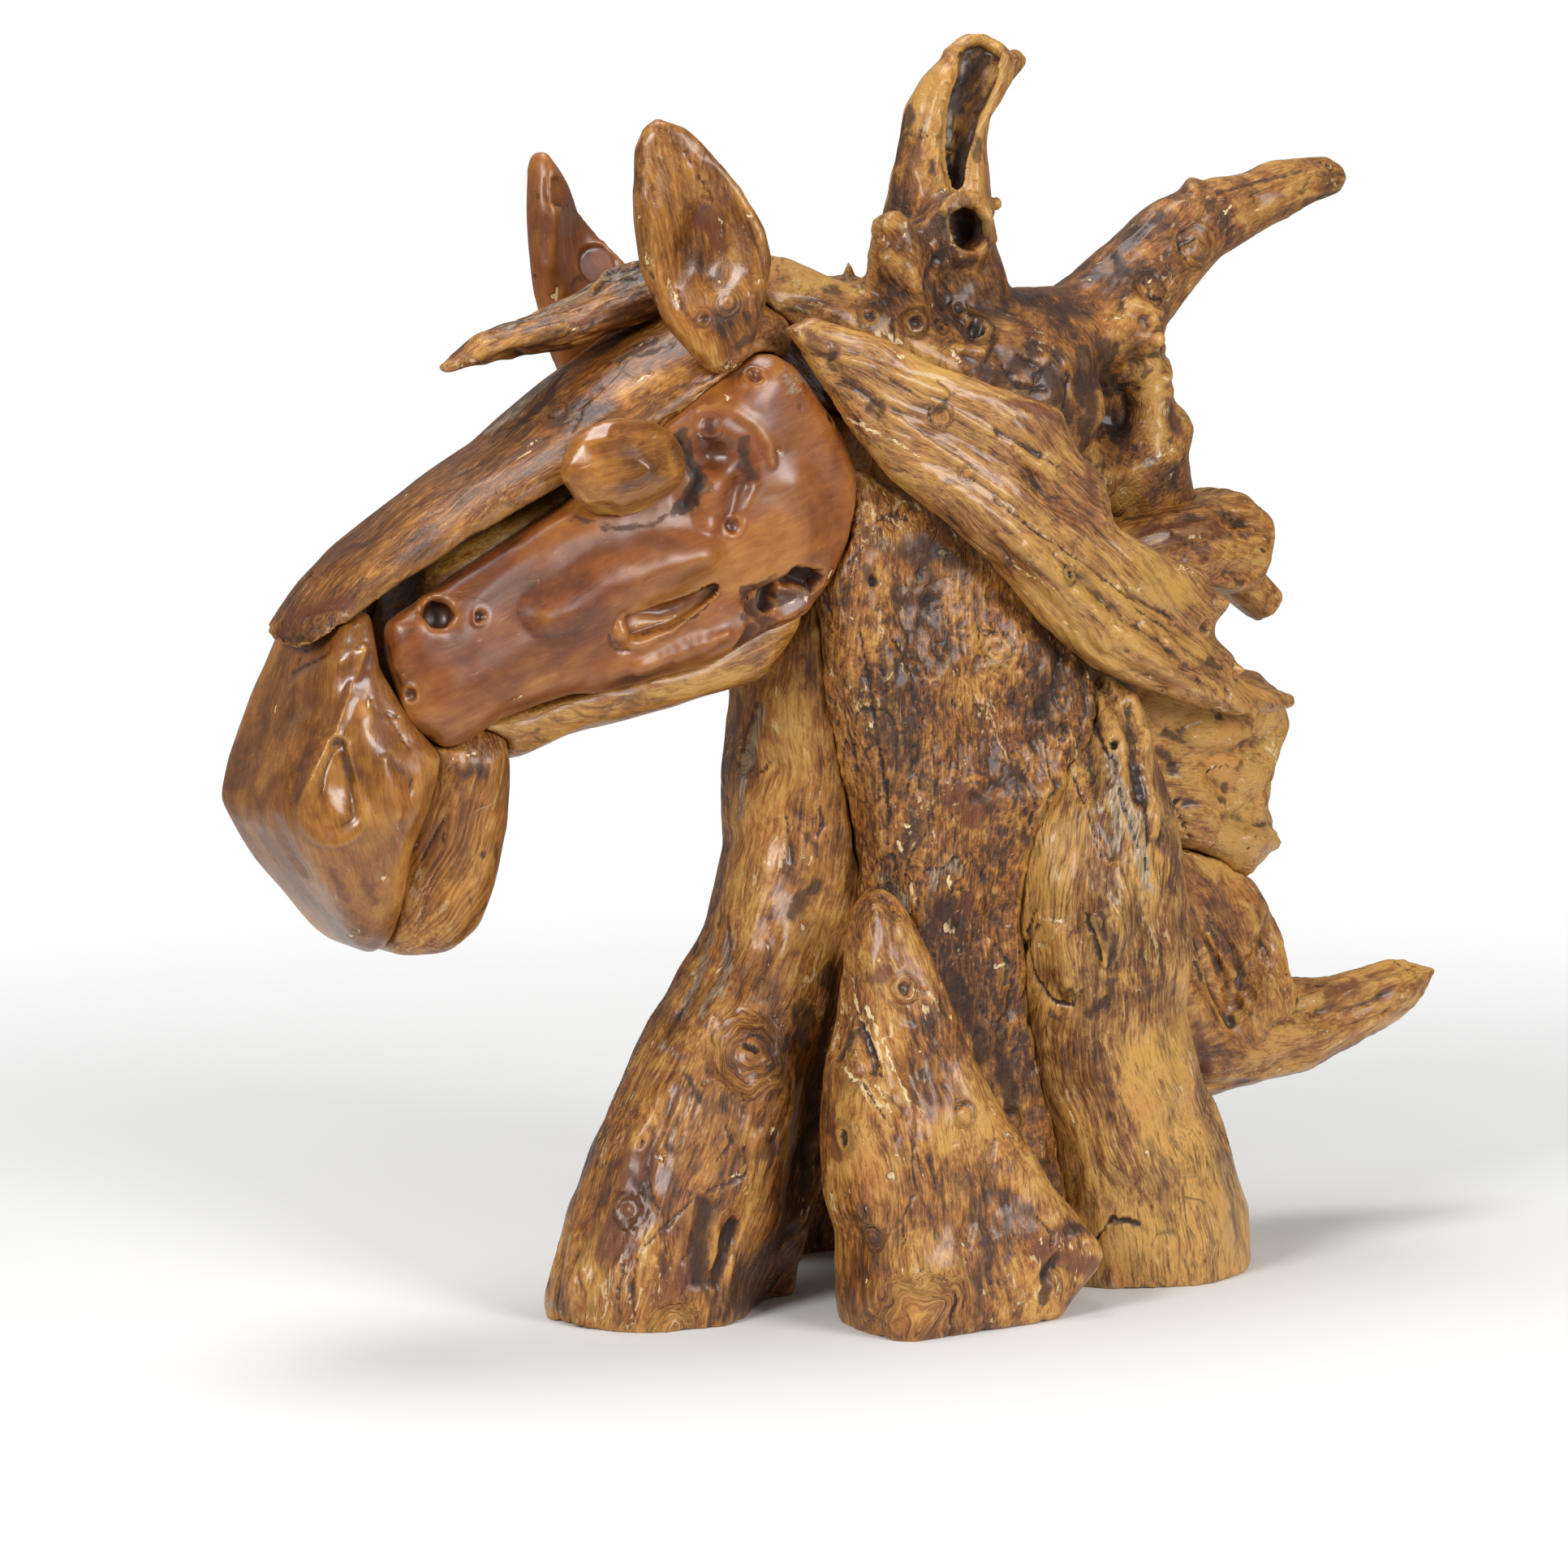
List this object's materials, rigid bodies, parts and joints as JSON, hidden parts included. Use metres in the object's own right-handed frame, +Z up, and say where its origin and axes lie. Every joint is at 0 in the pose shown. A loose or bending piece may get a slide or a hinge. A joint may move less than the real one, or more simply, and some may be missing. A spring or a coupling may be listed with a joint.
{
  "type": "wooden horse sculpture",
  "caption": "Standing sculpture of a horse's head and neck, put together from polished pieces of tree root, with root prongs as its mane.",
  "frame": {"origin": "centre of the box that holds the sculpture, on the surface that it stands on", "axes": "the horse faces -X and its left side is towards -Y; +Z is up; its length is along X and its thickness along Y"},
  "size_m": [0.635, 0.254, 0.5748],
  "materials": {
    "teak": "clear gloss varnish",
    "red_teak": "clear gloss varnish",
    "pale_teak": "clear gloss varnish"
  },
  "bodies": {
    "root": {"cheek_left": "red_teak", "cheek_right": "red_teak", "muzzle": "teak", "brow": "teak", "chin": "teak", "jaw": "pale_teak", "ear_left": "teak", "ear_right": "red_teak", "eye_left": "pale_teak", "eye_right": "pale_teak", "forelock": "teak", "mane_slab_left": "teak", "mane_slab_right": "teak", "wedge_root": "pale_teak", "rear_root": "pale_teak", "neck_left": "teak", "neck_right": "teak", "neck_front": "teak", "crown_root": "teak", "mane_fan": "teak", "mane_burl": "pale_teak", "rear_spur": "teak"}
  },
  "joints": []
}
